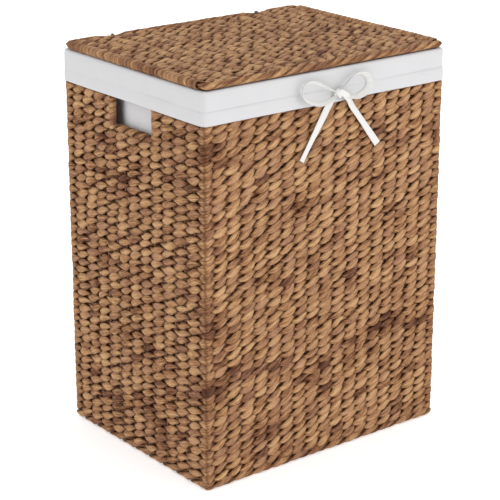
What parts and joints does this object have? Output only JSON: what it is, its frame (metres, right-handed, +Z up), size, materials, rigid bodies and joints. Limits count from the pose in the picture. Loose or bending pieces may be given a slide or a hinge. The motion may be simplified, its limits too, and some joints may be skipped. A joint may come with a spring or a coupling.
{
  "type": "laundry basket",
  "caption": "Rectangular laundry basket, twined round a steel-rod frame, with a hinged lid, a hand hole in each end and a cotton liner whose cuff folds over the rim and ties in a bow.",
  "frame": {"origin": "centre of the underside, on the floor", "axes": "+Z up; the bow is on the -Y face, the lid's hinges run along X at the +Y top edge, and the hand holes are in the two X faces"},
  "size_m": [0.455, 0.3669, 0.61],
  "materials": {
    "strand": "matt twisted plant-fibre strand, golden tan to dark brown",
    "steel": "brown powder coat",
    "cotton": "plain-woven off-white cotton",
    "tape": "flat off-white cotton tape"
  },
  "bodies": {
    "basket": {"bottom_rail": "steel", "top_rim": "steel", "corner_posts": "steel", "front_stakes": "steel", "back_stakes": "steel", "left_stakes": "steel", "right_stakes": "steel", "base_stakes": "steel", "left_handle_frame": "steel", "right_handle_frame": "steel", "front_weave": "strand", "back_weave": "strand", "left_weave": "strand", "right_weave": "strand", "base_weave": "strand", "base_border": "strand", "rim_border": "strand", "left_handle_wrap": "strand", "right_handle_wrap": "strand", "left_hinge_loop": "steel", "right_hinge_loop": "steel", "liner_cuff": "cotton", "liner_front_panel": "cotton", "liner_back_panel": "cotton", "liner_left_panel": "cotton", "liner_right_panel": "cotton", "liner_bottom_panel": "cotton", "drawstring_casing": "cotton", "drawstring": "tape", "bow_knot": "tape", "bow_loop_left": "tape", "bow_loop_right": "tape", "bow_tail_left": "tape", "bow_tail_right": "tape"},
    "lid": {"lid_frame": "steel", "lid_stakes": "steel", "lid_weave": "strand", "lid_border": "strand"}
  },
  "joints": [
    {"name": "lid_hinge", "type": "hinge", "parent": "basket", "child": "lid", "pos_m": [0, 0.17, 0.6038], "axis": [-1, 0, 0], "range_deg": [0, 110]}
  ]
}
